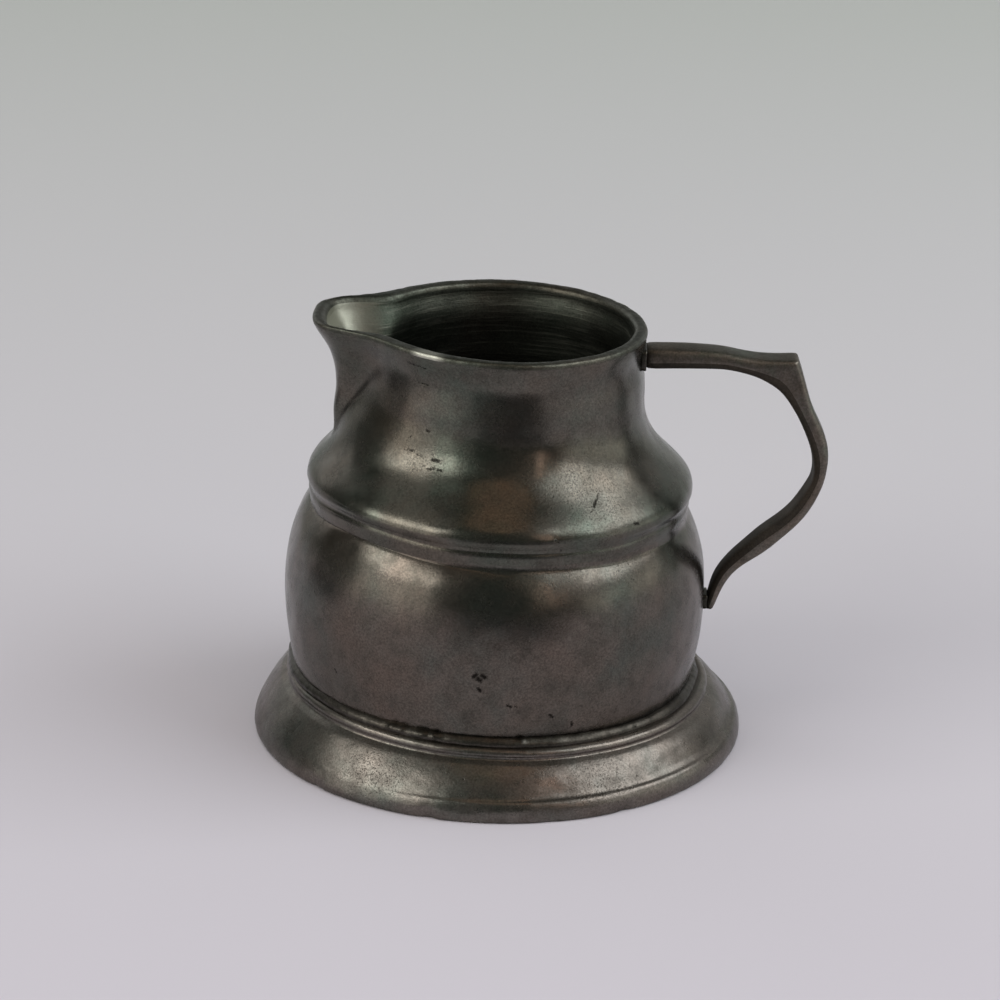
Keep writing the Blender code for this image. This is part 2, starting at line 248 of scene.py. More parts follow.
def pewterMaterial(name, look):
    material = bpy.data.materials.new(name)
    material.use_nodes = True
    tree = material.node_tree
    shader = tree.nodes["Principled BSDF"]
    shader.inputs["Metallic"].default_value = look["metal"]
    shader.inputs["Specular IOR Level"].default_value = look["gloss"]
    place = addNode(tree, "ShaderNodeTexCoord", {}).outputs["Object"]
    stain = noiseField(tree, place, look["stainSize"], 5.0, 0.6)
    cloud = noiseField(tree, place, look["cloudSize"], 6.0, 0.65)
    grain = noiseField(tree, place, look["grainSize"], 3.0, 0.6)
    colour = pewterTone(tree, look, place, stain, cloud, grain)
    pits = pewterFlaws(tree, look, place, cloud)
    # relief: fine grain over worn clouds, with the flaws sunk
    height = mathNode(tree, "MULTIPLY_ADD", grain, look["grainDepth"], cloud)
    height = mathNode(tree, "MULTIPLY_ADD", pits, pattern["flawDepth"], height)
    if look["turning"]:
        # long level scratches of the turning tool, pale on their crests
        flat = (pattern["stretch"], pattern["stretch"], 1.0)
        level = addNode(tree, "ShaderNodeMapping", {"Vector": place, "Scale": flat})
        lines = noiseField(tree, level, look["turning"], 4.0, 0.7)
        crests = remap(tree, lines, *pattern["crests"], last=pattern["crestShare"])
        colour = mixTones(tree, crests, colour, toLinear(pattern["crestTone"]))
        height = mathNode(tree, "MULTIPLY_ADD", lines, pattern["crestDepth"], height)
    soiled = mixTones(tree, pits, colour, toLinear(look["pit"]))
    half = look["roughSpread"] / 2
    sheen = remap(tree, cloud, *pattern["spread"], look["roughness"] - half, look["roughness"] + half)
    bump = addNode(tree, "ShaderNodeBump", {"Strength": pattern["bump"], "Distance": look["reliefDepth"] * mm,
                                            "Height": height})
    tree.links.new(soiled.outputs["Result"], shader.inputs["Base Color"])
    tree.links.new(sheen.outputs["Result"], shader.inputs["Roughness"])
    tree.links.new(bump.outputs["Normal"], shader.inputs["Normal"])
    return material


def pewterTone(tree, look, place, stain, cloud, grain):
    tones = addNode(tree, "ShaderNodeValToRGB", {"Fac": stain})
    ramp = tones.color_ramp
    ramp.elements[0].position = pattern["greenAt"]
    ramp.elements[0].color = toLinear(look["green"])
    ramp.elements[1].position = pattern["stainAt"]
    ramp.elements[1].color = toLinear(look["stain"])
    ramp.elements.new(pattern["bodyAt"]).color = toLinear(look["body"])
    smoky = remap(tree, cloud, *pattern["smoky"], last=pattern["smokyShare"])
    colour = mixTones(tree, smoky, tones, toLinear(look["dark"]))
    # the crystals of the cast skin take the light unevenly
    half = look["speckle"] / 2
    crystals = remap(tree, grain, *pattern["spread"], 1 - half, 1 + half)
    colour = addNode(tree, "ShaderNodeVectorMath", {0: colour, "Scale": crystals}, operation="SCALE")
    if look["pale"]:
        # a painted highlight, paler round one place: the glint on the rim and the lit inside of the lip
        x, y, z, size, tone = look["pale"]
        paintedHighlight = nearness(tree, place, x, y, z, pattern["highlightCore"], size, 1.0)
        colour = mixTones(tree, paintedHighlight, colour, toLinear(tone))
    return colour


def pewterFlaws(tree, look, place, cloud):
    # pinholes only where the clouds are thick
    holes = addNode(tree, "ShaderNodeTexVoronoi", {"Vector": place, "Scale": 1 / (look["pitSize"] * mm)})
    dots = remap(tree, holes, *pattern["hole"], 1.0, 0.0)
    thick = remap(tree, cloud, *pattern["thick"])
    pits = mathNode(tree, "MULTIPLY", dots, thick)
    # the single strokes, with ragged edges
    shake = Vector(pattern["shake"]) * mm
    ragged = noiseField(tree, place, pattern["raggedSize"], 4.0, 0.8).outputs["Color"]
    centred = vectorNode(tree, "SUBTRACT", place, shake / 2)
    shaken = vectorNode(tree, "MULTIPLY_ADD", ragged, shake, centred)
    for start, end, width in look["strokes"]:
        run = (Vector(end) - Vector(start)) * mm
        offset = vectorNode(tree, "SUBTRACT", shaken, Vector(start) * mm)
        along = vectorNode(tree, "DOT_PRODUCT", offset, run / run.length_squared)
        share = addNode(tree, "ShaderNodeClamp", {"Value": along})
        middle = addNode(tree, "ShaderNodeVectorMath", {0: run, "Scale": share}, operation="SCALE")
        away = vectorNode(tree, "DISTANCE", offset, middle)
        cut = remap(tree, away, pattern["strokeCore"] * width * mm, pattern["strokeEdge"] * width * mm,
                    pattern["strokeShare"], 0.0)
        pits = mathNode(tree, "MAXIMUM", pits, cut)
    # sandy corrosion round some places
    for x, y, z, size in look["patches"]:
        sandy = nearness(tree, place, x, y, z, pattern["sandCore"], size, pattern["sandShare"])
        specks = noiseField(tree, place, pattern["speckSize"], 2.0)
        sharp = remap(tree, specks, *pattern["specks"])
        pits = mathNode(tree, "MAXIMUM", pits, mathNode(tree, "MULTIPLY", sandy, sharp))
    if look["cornerDark"]:
        # darker in the corner below this height, with a drifting edge
        low, high = (z + pattern["driftRise"] / 2 for z in look["cornerDark"])
        tall = addNode(tree, "ShaderNodeSeparateXYZ", {"Vector": place}).outputs["Z"]
        drift = noiseField(tree, place, pattern["driftSize"], 4.0)
        edge = mathNode(tree, "MULTIPLY_ADD", drift, pattern["driftRise"] * mm, tall)
        cornerDarkening = remap(tree, edge, low * mm, high * mm, pattern["cornerDarkShare"], 0.0)
        pits = mathNode(tree, "MAXIMUM", pits, cornerDarkening)
    return pits


neckMaterial = pewterMaterial("castPewterScrapedNeck", {
    **agedPewter, "strokes": neckStrokes, "patches": ((8.0, -24.0, 50.5, 11.0), (-19.0, -21.5, 55.5, 5.0))})
bellyMaterial = pewterMaterial("castPewterScrapedBelly", {
    **agedPewter, "body": "625c55", "stain": "655b53", "green": "565852", "strokes": bellyStrokes,
    "patches": ((3.5, -29.5, 38.0, 6.0), (14.0, -25.0, 37.5, 5.0)), "cornerDark": (11.6, 12.8)})
footMaterial = pewterMaterial("castPewterWornFoot", {
    **agedPewter, "body": "6e6862", "stain": "6f655e", "green": "62635d", "dark": "544f4a", "roughness": 0.31,
    "reliefDepth": 0.07, "patches": ((-26.0, -34.0, 4.0, 9.0), (12.0, -37.0, 5.0, 9.0))})
handleMaterial = pewterMaterial("castPewterHandled", {
    **agedPewter, "body": "69635c", "stain": "70665c", "green": "5c6156", "dark": "4b4741", "roughness": 0.43,
    "stainSize": 8.0, "reliefDepth": 0.09})
# the handle's inner face is painted shade: a dull dark brown, hardly metallic, for the shade on the side
# facing the jug
handleShadedFaceMaterial = pewterMaterial("castPewterPaintedShade", {
    **agedPewter, "body": "35302a", "stain": "383029", "green": "2f2e28", "dark": "262320", "roughness": 0.60,
    "metal": 0.1, "gloss": 0.15})
# the rim was filed level: matt and mottled, with one painted highlight on the near side for a glint
rimMaterial = pewterMaterial("filedPewterRim", {
    **agedPewter, "body": "58574f", "stain": "565047", "green": "4c5048", "dark": "383731", "roughness": 0.42,
    "cloudSize": 1.6, "reliefDepth": 0.10, "pale": (-19.3, -20.7, 73.0, 3.6, "a5a49a")})
# inside: dull and nearly black, with long level scratches of the turning tool, and a painted reflection
# inside the lip
insideMaterial = pewterMaterial("turnedPewterInside", {
    **agedPewter, "body": "484a43", "stain": "44413b", "green": "3d423a", "dark": "353631", "roughness": 0.46,
    "reliefDepth": 0.07, "turning": 0.55, "pale": (-39.0, 0.0, 73.0, 15.0, "9a998c")})
# solder: a little paler, lumpy and scraped, or black with dirt where it lies in a corner
solderMaterial = pewterMaterial("tinSolderScraped", {
    **agedPewter, "body": "5f5a53", "stain": "4f463f", "roughness": 0.36, "cloudSize": 1.2,
    "reliefDepth": 0.08})
cornerSolderMaterial = pewterMaterial("tinSolderDirty", {
    **agedPewter, "body": "4a4641", "stain": "3d3833", "green": "43433d", "dark": "2a2824", "roughness": 0.36,
    "cloudSize": 1.4, "reliefDepth": 0.08})

# upper casting with the lip let into it, in mm round the body axis
neck = {
    "wall": 2.1, "skirtZ": 40.6, "rimZ": 73.3, "innerTopZ": 70.3,
    "band": ((31.9, 40.7), (32.22, 41.05), (32.36, 41.5), (32.5, 42.3), (32.6, 43.0), (32.56, 43.5),
             (32.43, 43.95), (32.48, 44.35), (32.68, 44.8)),
    "bulge": (32.9, 45.4), "waist": (23.6, 62.2), "fullness": 0.237, "sag": 0.652,
    "throat": ((23.35, 65.0), (23.18, 67.2), (23.25, 68.6), (23.6, 69.9), (24.0, 71.1)),
    "rim": ((24.22, 72.0), (24.24, 72.75), (23.95, 73.18), (23.35, 73.3), (22.65, 73.25), (22.15, 72.98),
            (21.93, 72.4), (21.9, 71.6)),
    "swell": 2.35, "swellZ": 56.5, "swellTall": 5.4, "swellAngle": 38.0,
    "lipFootZ": 51.0, "reach": 8.8, "lipAngle": 21.5, "outerPower": 4.6, "innerPower": 6.5, "steeper": 2.0,
    "keelRise": (1.12, 1.2), "keelDip": (0.12, 5), "leastAngle": 1.0, "waistPull": 0.1, "shoulderSteps": 34,
    "bandSteps": 5, "rimSteps": 4,
    "rough": 0.05, "roughSize": 1.6, "roughBelow": 1.6, "rimBelow": 0.95, "steps": 288,
}


def lipPull(angle, z, power):
    # a broad swell of the wall, and above it the V of the spout with a crease down each side
    lean = ((z - neck["swellZ"]) / neck["swellTall"]) ** 2 + (math.degrees(angle) / neck["swellAngle"]) ** 2
    rise = max(z - neck["lipFootZ"], 0.0) / (neck["rimZ"] - neck["lipFootZ"])
    width = math.radians(max(neck["lipAngle"] * rise, neck["leastAngle"]))
    (up, upPower), (dip, dipPower) = neck["keelRise"], neck["keelDip"]
    keel = neck["reach"] * (up * rise ** upPower - dip * rise ** dipPower)
    side = abs(angle / width) ** (power + neck["steeper"] * (1 - rise))
    return neck["swell"] * math.exp(-lean) + keel / (1 + side)


def buildNeck():
    n = neck
    low, high = Vector(n["bulge"]), Vector(n["waist"])
    climb = high.y - low.y
    shoulder = bezierLine(low, low + Vector((0, n["fullness"] * climb)),
                          high + Vector((n["waistPull"], -n["sag"] * climb)), high, n["shoulderSteps"])
    band = curveThrough(n["band"] + (n["bulge"], shoulder[2]), n["bandSteps"])[:-n["bandSteps"]]
    climbing = (shoulder[-2], shoulder[-1]) + n["throat"] + n["rim"]
    upward = curveThrough(climbing, n["rimSteps"])[n["rimSteps"]:]
    wallLine = shoulder + [p for p in upward[1:] if p.y < n["innerTopZ"]]
    inner = inwardLine(wallLine, n["wall"])[::-1]
    inner.append(Vector((inner[-1].x, n["skirtZ"])))
    bm = spinLine(band + shoulder[1:] + upward[1:] + inner, n["steps"])
    for face in bm.faces:
        middle = face.calc_center_median()
        inward = face.normal.x * middle.x + face.normal.y * middle.y < 0
        onRim = min(v.co.z for v in face.verts) > (n["rimZ"] - n["rimBelow"]) * mm
        face.material_index = 2 if onRim else int(inward)
    for vert in bm.verts:
        around = Vector((vert.co.x, vert.co.y, 0)).normalized()
        angle = math.atan2(vert.co.y, -vert.co.x)
        power = n["outerPower"] if vert.normal.dot(around) > 0 else n["innerPower"]
        vert.co += lipPull(angle, vert.co.z / mm, power) * mm * around
    for vert in bm.verts:
        worn = max(vert.co.z / mm - n["rimZ"] + n["roughBelow"], 0.0) * n["rough"]
        worn *= unevenness(vert.co, n["roughSize"], 3.0)
        vert.co = handWork(vert.co) + worn * mm * vert.normal
    return makePiece(bm, "upperBody", (neckMaterial, insideMaterial, rimMaterial),
                     ["neck_casting", "spout"])


# lower casting
belly = {
    "wall": 2.1, "topZ": 41.0, "topRadius": 32.35, "wideRadius": 36.2, "wideZ": 25.0, "seatZ": 9.8,
    "seatInset": 1.93, "topPull": (1.35, 3.4), "topEdge": ((0.3, 0.22), (0.9, 0.3)), "lowSteps": 16,
    "highSteps": 24, "steps": 288,
}


def bellyRadius(z):
    drop = max(belly["wideZ"] - z, 0) / (belly["wideZ"] - belly["seatZ"])
    return belly["wideRadius"] - belly["seatInset"] * drop ** 2


def buildBelly():
    b = belly
    rise = b["wideZ"] - b["seatZ"]
    heights = [b["seatZ"] + i * rise / b["lowSteps"] for i in range(b["lowSteps"] + 1)]
    low = [Vector((bellyRadius(z), z)) for z in heights]
    pullIn, pullDown = b["topPull"]
    high = bezierLine((b["wideRadius"], b["wideZ"]), (b["wideRadius"], (b["wideZ"] + b["topZ"]) / 2),
                      (b["wideRadius"] - pullIn, b["topZ"] - pullDown), (b["topRadius"], b["topZ"]),
                      b["highSteps"])
    edge = [Vector((b["topRadius"] - inset, b["topZ"] + lift)) for inset, lift in b["topEdge"]]
    outer = low + high[1:] + edge
    inner = [Vector((p.x - b["wall"], p.y)) for p in low + high[1:-3]][::-1]
    bm = spinLine(outer + inner, b["steps"])
    for face in bm.faces:
        middle = face.calc_center_median()
        face.material_index = int(face.normal.x * middle.x + face.normal.y * middle.y < 0)
    for vert in bm.verts:
        vert.co = handWork(vert.co)
    return makePiece(bm, "lowerBody", (bellyMaterial, insideMaterial), ["belly_casting"])


# moulded foot, its mouldings worn soft, with a few knocks on the lower edge
foot = {
    "profile": ((34.2, 10.7), (35.2, 10.75), (36.0, 10.7), (36.6, 10.35), (36.85, 9.8), (36.75, 9.28),
                (36.85, 8.95), (37.25, 8.68), (37.95, 8.2), (38.95, 7.15), (39.8, 5.9), (40.45, 4.85),
                (40.9, 4.12), (41.25, 3.72), (41.85, 3.35), (42.25, 2.6), (42.45, 1.6), (42.48, 0.8),
                (42.35, 0.2), (41.95, 0.0)),
    "hollow": ((39.6, 0.0), (39.1, 3.4), (34.3, 7.9), (33.8, 9.5), (30.5, 9.5), (30.5, 10.6)),
    "wornTop": (37.95, 8.2), "wornEdge": (42.48, 0.8), "wornPower": 1.6,
    "wornShare": 0.35, "wornSide": 1.3, "wornPatchy": 0.5, "patchTurns": 1.9, "outward": 0.05, "knockZ": 0.3,
    "knocks": ((-11.0, -41.0, 1.3, 0.45), (21.4, -36.6, 1.1, 0.4), (-30.0, -30.0, 1.4, 0.25),
               (9.0, -41.4, 1.0, 0.2)),
    "dent": 0.16, "dentSize": 9.0, "fine": 0.06, "fineSize": 1.5, "tilt": 0.9, "slim": 0.35,
    "slimZ": (1.5, 3.0), "tiltZ": (4.0, 6.0), "dentZ": 2, "curveSteps": 4, "steps": 300,
}


def buildFoot():
    f = foot
    bm = spinLine(curveThrough(f["profile"], f["curveSteps"]) + [Vector(p) for p in f["hollow"]], f["steps"])
    top, edge = Vector(f["wornTop"]), Vector(f["wornEdge"])
    for vert in bm.verts:
        around = Vector((vert.co.x, vert.co.y, 0)).normalized()
        radius, z = Vector((vert.co.x, vert.co.y)).length / mm, vert.co.z / mm
        push = f["dent"] * min(z / f["dentZ"], 1.0) * unevenness(vert.co, f["dentSize"], 7.7)
        push += f["fine"] * unevenness(vert.co, f["fineSize"], 4.4)
        push -= f["slim"] * max(around.x, 0.0) * clamp((z - f["slimZ"][0]) / f["slimZ"][1])
        # on the spout's side the step above the lower band is worn away to one curve
        if vert.normal.dot(around) > f["outward"] and edge.y < z < top.y:
            fall = ((z - edge.y) / (top.y - edge.y)) ** f["wornPower"]
            wornRadius = edge.x - (edge.x - top.x) * fall
            patchy = f["wornPatchy"] * noise.noise(f["patchTurns"] * around + Vector((3.1, 0, 0)))
            wear = clamp(f["wornShare"] - f["wornSide"] * around.x + patchy)
            push += wear * (wornRadius - radius)
        for x, y, size, deep in f["knocks"]:
            away = Vector((x, y, f["knockZ"])) - vert.co / mm
            push -= deep * math.exp(-away.length_squared / size ** 2)
        vert.co += push * mm * around
        # the top of the foot is a little out of level
        vert.co.z -= f["tilt"] * mm * around.x * clamp((z - f["tiltZ"][0]) / f["tiltZ"][1])
        vert.co.x += footX
    return makePiece(bm, "mouldedFoot", (footMaterial,), ["foot_ring"])


# dirty solder run round the seat, higher towards the spout, and the scraped run in the girdle's lower crease
bead = {
    "ring": ((34.0, 10.3), (35.2, 10.2), (35.75, 10.75), (35.75, 11.3), (35.45, 11.75), (35.0, 12.1),
             (34.3, 12.2)),
    "core": (34.8, 11.2), "lump": 0.24, "lumpSize": 7.0, "fine": 0.08, "steps": 480, "tilt": 1.2, "sink": 0.0,
    "drops": (-27.5, -24.9, -20.2, -18.3, -15.4, 8.0), "dropSpot": (35.6, 11.6), "dropSize": 0.65,
    "dropSwell": 0.40,
}
seam = {
    "ring": ((31.4, 41.05), (31.9, 40.2), (32.88, 40.1), (32.8, 40.35), (32.6, 40.7), (32.47, 41.1),
             (32.43, 41.5), (32.44, 41.95), (32.38, 42.3), (31.9, 42.2)),
    "core": (32.0, 41.05), "lump": 0.02, "lumpSize": 6.0, "fine": 0.0, "steps": 288, "tilt": 0.0,
    "sink": 0.22, "drops": (), "dropSpot": (32.4, 41.0), "dropSize": 1.0, "dropSwell": 0.0,
}
runLook = {"curveSteps": 3, "fineSize": 1.2, "sinkSide": 1.6}


def buildRun(run, name, material, nodes):
    closed = run["ring"] + run["ring"][:1]
    bm = spinLine(curveThrough(closed, runLook["curveSteps"])[:-1], run["steps"])
    for vert in bm.verts:
        around = Vector((vert.co.x, vert.co.y, 0)).normalized()
        core = run["core"][0] * mm * around + Vector((0, 0, run["core"][1] * mm))
        swell = run["lump"] * unevenness(core, run["lumpSize"], 2.0)
        swell += run["fine"] * unevenness(vert.co, runLook["fineSize"], 5.0)
        for turn in run["drops"]:
            drop = Matrix.Rotation(math.radians(turn), 3, "Z") @ Vector((0, -run["dropSpot"][0], 0))
            drop.z = run["dropSpot"][1]
            away = vert.co / mm - drop
            swell += run["dropSwell"] * math.exp(-away.length_squared / run["dropSize"] ** 2)
        vert.co += (vert.co - core) * swell
        vert.co.z -= run["tilt"] * mm * around.x
        vert.co -= run["sink"] * mm * clamp(-runLook["sinkSide"] * around.x) * around
        vert.co = handWork(vert.co)
    return makePiece(bm, name, (material,), nodes)


# strap handle: u runs from the tail's inner face to the back, v from the tail tip to the arm's top
strap = {
    "tailX": 37.15, "reach": 18.2, "tailZ": 23.4, "armZ": 70.15, "rootX": 22.6, "armThick": 3.85,
    "width": 5.8, "tailWidth": 4.6, "narrowZ": 40.0, "narrowFade": 14.0, "round": 1.25, "roundShare": 0.42,
    "curveSteps": 5, "bows": 4, "wobble": 0.13, "wobbleSize": 4.5,
    "armTop": ((-0.107, 1.002), (0.294, 0.980), (0.657, 0.984)),
    "backOut": ((0.694, 0.946), (0.808, 0.817), (0.968, 0.690), (1.012, 0.600), (0.980, 0.500),
                (0.818, 0.372), (0.488, 0.230), (0.186, 0.125), (0.016, -0.031)),
    "under": ((-0.099, 0.931), (0.228, 0.914), (0.420, 0.881), (0.565, 0.834), (0.720, 0.745), (0.838, 0.643),
              (0.880, 0.566), (0.852, 0.507), (0.690, 0.400), (0.366, 0.286), (0.066, 0.142),
              (-0.056, -0.026)),
}


def buildHandle():
    s = strap
    tall = s["armZ"] - s["tailZ"]
    armTop, backOut, under = ([(s["tailX"] + u * s["reach"], s["tailZ"] + v * tall) for u, v in s[side]]
                              for side in ("armTop", "backOut", "under"))
    armLine = curveThrough([(s["rootX"], s["armZ"])] + armTop, s["curveSteps"])
    backLine = curveThrough(backOut, s["curveSteps"])
    tip = [armLine[-1].lerp(backLine[0], i / s["curveSteps"]) for i in range(1, s["curveSteps"])]
    outLine = armLine + tip + backLine
    inStart = (s["rootX"], s["armZ"] - s["armThick"])
    inLine = curveThrough([inStart] + under, s["curveSteps"])[:len(outLine)]
    inLine[-1] = Vector(under[-1])
    bm = bmesh.new()
    ring = []
    for out, inside in zip(outLine, inLine):
        thick = (out - inside).length
        low = clamp((s["narrowZ"] - out.y) / s["narrowFade"])
        half = (s["width"] + (s["tailWidth"] - s["width"]) * low) / 2
        corner = min(s["round"], s["roundShare"] * thick)
        loop = []
        for side, face in ((-1, 1), (1, 1), (1, -1), (-1, -1)):
            for bow in range(s["bows"]):
                turn = math.radians(90 * bow / (s["bows"] - 1))
                sweep = (math.sin(turn), math.cos(turn))
                across, outward = sweep if side * face > 0 else sweep[::-1]
                y = side * (half - corner + corner * across)
                depth = face * (thick / 2 - corner + corner * outward)
                spot = (out + inside) / 2 + (out - inside).normalized() * depth
                loop.append(Vector((spot.x, y, spot.y)) * mm)
        if not ring:
            ring = [bm.verts.new(co) for co in loop]
            edges = [bm.edges.new(pair) for pair in zip(ring, ring[1:] + ring[:1])]
            bm.faces.new(ring)
        else:
            grown = bmesh.ops.extrude_edge_only(bm, edges=edges)["geom"]
            edges = [g for g in grown if isinstance(g, bmesh.types.BMEdge)]
            fresh = {g for g in grown if isinstance(g, bmesh.types.BMVert)}
            ring = [next(e.other_vert(v) for e in v.link_edges if e.other_vert(v) in fresh) for v in ring]
            for vert, co in zip(ring, loop):
                vert.co = co
        # the last half of each loop runs along the inner face
        for i, vert in enumerate(ring):
            vert.tag = i >= 2 * s["bows"]
    bm.faces.new(ring)
    # faces along the inner face take the dark material, which is painted shade
    for face in bm.faces:
        face.material_index = int(all(v.tag for v in face.verts))
    bm.normal_update()
    for vert in bm.verts:
        wobble = s["wobble"] * mm * unevenness(vert.co, s["wobbleSize"], 2.2)
        vert.co = leanOver(vert.co + wobble * vert.normal)
    piece = makePiece(bm, "strapHandle", (handleMaterial, handleShadedFaceMaterial), ["handle"])
    soft = piece.modifiers.new("smooth strap", "SUBSURF")
    soft.levels = 1
    soft.render_levels = 1
    return piece


# thin solder films that hold the strap, grown a little to make up for the smoothing
padLook = {"cuts": 7, "smoothings": 4, "grow": 1.15, "lumpSize": 1.3}
rootPad = {"centre": (23.0, 0.0, 68.2), "size": (1.0, 6.4, 3.3), "lump": 0.12}
tailPad = {"centre": (36.0, 0.0, 23.8), "size": (1.2, 3.8, 2.4), "lump": 0.2}


def buildPad(pad, name, material, nodes):
    bm = bmesh.new()
    bmesh.ops.create_cube(bm, size=mm)
    bmesh.ops.subdivide_edges(bm, edges=bm.edges, cuts=padLook["cuts"], use_grid_fill=True)
    for turn in range(padLook["smoothings"]):
        bmesh.ops.smooth_vert(bm, verts=bm.verts, factor=0.5,
                              use_axis_x=True, use_axis_y=True, use_axis_z=True)
    centre = Vector(pad["centre"]) * mm
    for vert in bm.verts:
        spot = Vector([a * b * padLook["grow"] for a, b in zip(vert.co, pad["size"])])
        lump = pad["lump"] * mm * unevenness(spot + centre, padLook["lumpSize"], 0.5)
        spot += lump * spot.normalized()
        vert.co = leanOver(spot + centre)
    return makePiece(bm, name, (material,), nodes)


buildNeck()
buildBelly()
buildFoot()
buildRun(bead, "footSolderRun", cornerSolderMaterial, ["foot_solder"])
buildRun(seam, "girdleSolderRun", bellyMaterial, ["girdle_solder"])
buildHandle()
buildPad(rootPad, "rootSolderLump", cornerSolderMaterial, ["handle_root_solder"])
buildPad(tailPad, "tailSolderLump", cornerSolderMaterial, ["handle_tail_solder"])

# the floor disc and its fillet stay as packed, the disc in the turned finish and the fillet as scraped solder
for nodeName, material in (("base_disc", insideMaterial), ("base_solder", solderMaterial)):
    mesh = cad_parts[nodeName].data
    mesh.materials.clear()
    mesh.materials.append(material)
print("floor disc and fillet finished")

# pale paper on the table, swept up at the back
paper = {
    "near": "cdc8d0", "far": "c0c2bf", "fade": (-0.10, 0.60), "half": 1.8, "front": -1.8, "back": 0.85,
    "sweep": 0.5, "sweepTurn": 1.4, "rows": 60,
}
sheetMaterial = bpy.data.materials.new("paleMattPaper")
sheetMaterial.use_nodes = True
tree = sheetMaterial.node_tree
matt = tree.nodes["Principled BSDF"]
matt.inputs["Roughness"].default_value = 0.9
matt.inputs["Specular IOR Level"].default_value = 0.1
spot = addNode(tree, "ShaderNodeTexCoord", {}).outputs["Object"]
depth = addNode(tree, "ShaderNodeSeparateXYZ", {"Vector": spot}).outputs["Y"]
# the paper turns greener and darker towards the back; the darkening is painted shade where the light falls
# off
fade = remap(tree, depth, *paper["fade"])
tint = mixTones(tree, fade, toLinear(paper["near"]), toLinear(paper["far"]))
tree.links.new(tint.outputs["Result"], matt.inputs["Base Color"])

bm = bmesh.new()
rows = []
for step in range(paper["rows"] + 1):
    along = paper["front"] + (paper["back"] + paper["sweep"] - paper["front"]) * step / paper["rows"]
    turn = max(along - paper["back"], 0.0) / paper["sweep"] * paper["sweepTurn"]
    lift = paper["sweep"] / paper["sweepTurn"]
    y = min(along, paper["back"]) + lift * math.sin(turn)
    rows.append([bm.verts.new((side * paper["half"], y, lift * (1 - math.cos(turn)))) for side in (-1, 1)])
for first, second in zip(rows, rows[1:]):
    bm.faces.new((first[0], first[1], second[1], second[0]))
mesh = bpy.data.meshes.new("paleSheet")
bm.to_mesh(mesh)
bm.free()
mesh.shade_smooth()
mesh.materials.append(sheetMaterial)
sheet = bpy.data.objects.new("paleSheet", mesh)
bpy.context.collection.objects.link(sheet)
print("paper laid")

# painted shade: dark sheets on the table that only the metal sees, by their turn from the front in degrees
# and reach in m
shadeSheets = {
    "frontShadeSheet": {"turn": (-27, 41), "reach": (0.13, 0.85)},
    "leftShadeSheet": {"turn": (-114, -81), "reach": (0.13, 0.60)},
}
shadeSheetLook = {
    "dark": "26272a", "pale": "33343a", "weave": 1.5, "lift": 0.4, "rows": 12, "steps": 24,
    "sideFade": 4.5, "nearFade": 0.09,
}
shadeSheetMaterial = bpy.data.materials.new("paintedShadeSheet")
shadeSheetMaterial.use_nodes = True
tree = shadeSheetMaterial.node_tree
woven = tree.nodes["Principled BSDF"]
woven.inputs["Roughness"].default_value = 0.95
spot = addNode(tree, "ShaderNodeTexCoord", {}).outputs["Object"]
weave = noiseField(tree, spot, shadeSheetLook["weave"], 3.0)
threads = mixTones(tree, weave, toLinear(shadeSheetLook["dark"]), toLinear(shadeSheetLook["pale"]))
tree.links.new(threads.outputs["Result"], woven.inputs["Base Color"])
# the edges fade out, so that no hard line shows in the metal
body = addNode(tree, "ShaderNodeAttribute", {}, attribute_name="shadeSheetBody").outputs["Fac"]
clear = addNode(tree, "ShaderNodeBsdfTransparent", {})
mixed = addNode(tree, "ShaderNodeMixShader", {0: body, 1: clear, 2: woven})
tree.links.new(mixed.outputs["Shader"], tree.nodes["Material Output"].inputs["Surface"])
for shadeSheetName, shadeSheet in shadeSheets.items():
    first, last = (math.radians(t) for t in shadeSheet["turn"])
    near, far = shadeSheet["reach"]
    bm = bmesh.new()
    lift = shadeSheetLook["lift"] * mm
    spots = [near + (far - near) * (i / shadeSheetLook["rows"]) ** 2 for i in range(shadeSheetLook["rows"] + 1)]
    start = [bm.verts.new((footX + r * math.sin(first), -r * math.cos(first), lift)) for r in spots]
    edges = [bm.edges.new(pair) for pair in zip(start, start[1:])]
    bmesh.ops.spin(bm, geom=start + edges, cent=(footX, 0, 0), axis=(0, 0, 1), angle=last - first,
                   steps=shadeSheetLook["steps"])
    bmesh.ops.recalc_face_normals(bm, faces=bm.faces)
    layer = bm.verts.layers.float.new("shadeSheetBody")
    for vert in bm.verts:
        turn = (math.atan2(vert.co.x - footX, -vert.co.y) - first) / (last - first)
        reach = Vector((vert.co.x - footX, vert.co.y)).length
        sides = clamp(shadeSheetLook["sideFade"] * turn) * clamp(shadeSheetLook["sideFade"] * (1 - turn))
        vert[layer] = sides * clamp((reach - near) / shadeSheetLook["nearFade"])
    mesh = bpy.data.meshes.new(shadeSheetName)
    bm.to_mesh(mesh)
    bm.free()
    mesh.materials.append(shadeSheetMaterial)
    piece = bpy.data.objects.new(shadeSheetName, mesh)
    bpy.context.collection.objects.link(piece)
    piece.visible_camera = False
    piece.visible_diffuse = False
    piece.visible_shadow = False
print("cloths laid")

